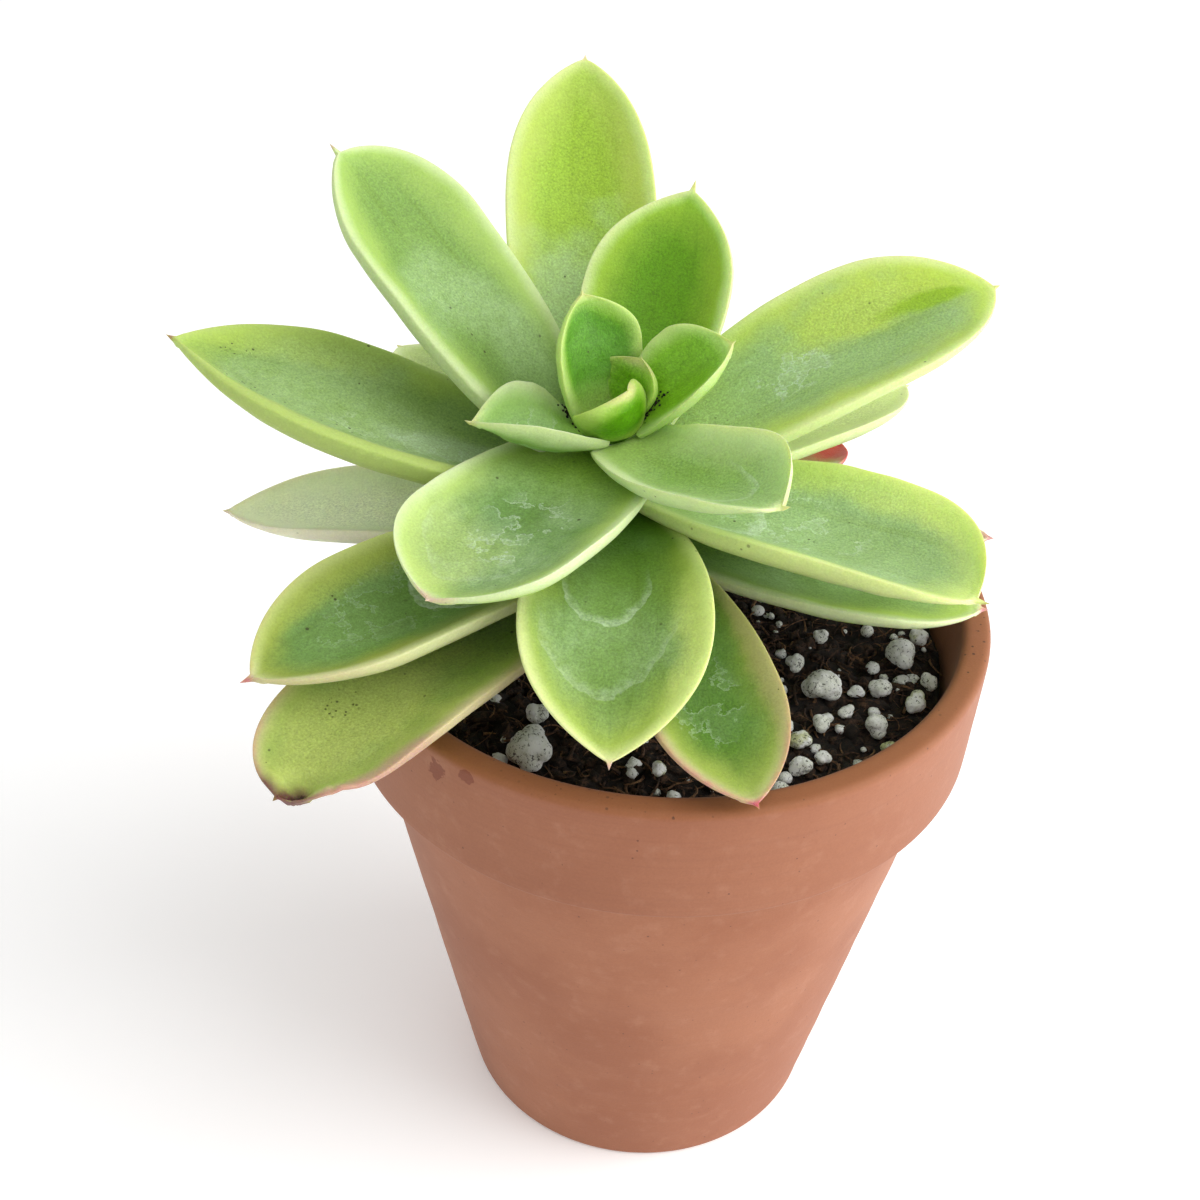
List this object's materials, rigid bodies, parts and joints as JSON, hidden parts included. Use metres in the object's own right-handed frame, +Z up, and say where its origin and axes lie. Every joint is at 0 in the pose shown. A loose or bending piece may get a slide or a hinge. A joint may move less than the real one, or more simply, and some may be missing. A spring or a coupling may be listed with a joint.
{
  "type": "potted succulent",
  "caption": "Fleshy-leaved rosette succulent on a short leaning stem, growing in dark peat with white perlite in a small clay pot with a plain banded rim.",
  "frame": {"origin": "the centre of the whole object's footprint, leaves included, on the plane that the pot stands on", "axes": "+Z up, along the pot's axis; -Y towards the side seen from the front; +X to the right, the way the pot's axis lies from the origin, because the longest leaves reach out to -X"},
  "size_m": [0.1292, 0.1202, 0.1724],
  "materials": {
    "terracotta": "matte",
    "peat": "matte",
    "stem": "matte",
    "leaf": "satin",
    "young_leaf": "satin",
    "perlite": "matte"
  },
  "bodies": {
    "root": {"pot": "terracotta", "soil": "peat", "stem": "stem", "leaf_outer_front_left": "leaf", "leaf_outer_front_right": "leaf", "leaf_outer_right": "leaf", "leaf_outer_back_right": "leaf", "leaf_outer_back": "leaf", "leaf_outer_left": "leaf", "leaf_lower_front_left": "leaf", "leaf_lower_right": "leaf", "leaf_lower_back_right": "leaf", "leaf_lower_back": "leaf", "leaf_lower_back_left": "leaf", "leaf_middle_front": "leaf", "leaf_middle_right": "leaf", "leaf_middle_left": "leaf", "leaf_upper_front_left": "leaf", "leaf_upper_right": "leaf", "leaf_upper_back": "leaf", "leaf_upper_back_left": "leaf", "leaf_inner_front_right": "leaf", "leaf_inner_right": "young_leaf", "leaf_inner_back": "young_leaf", "leaf_inner_left": "young_leaf", "leaf_heart_back": "young_leaf", "leaf_bud_back": "young_leaf", "leaf_bud_front": "young_leaf", "perlite_01": "perlite", "perlite_02": "perlite", "perlite_03": "perlite", "perlite_04": "perlite", "perlite_05": "perlite", "perlite_06": "perlite", "perlite_07": "perlite", "perlite_08": "perlite", "perlite_09": "perlite", "perlite_10": "perlite", "perlite_11": "perlite", "perlite_12": "perlite", "perlite_13": "perlite", "perlite_14": "perlite", "perlite_15": "perlite", "perlite_16": "perlite", "perlite_17": "perlite", "perlite_18": "perlite", "perlite_19": "perlite", "perlite_20": "perlite", "perlite_21": "perlite", "perlite_22": "perlite", "perlite_23": "perlite", "perlite_24": "perlite"}
  },
  "joints": []
}
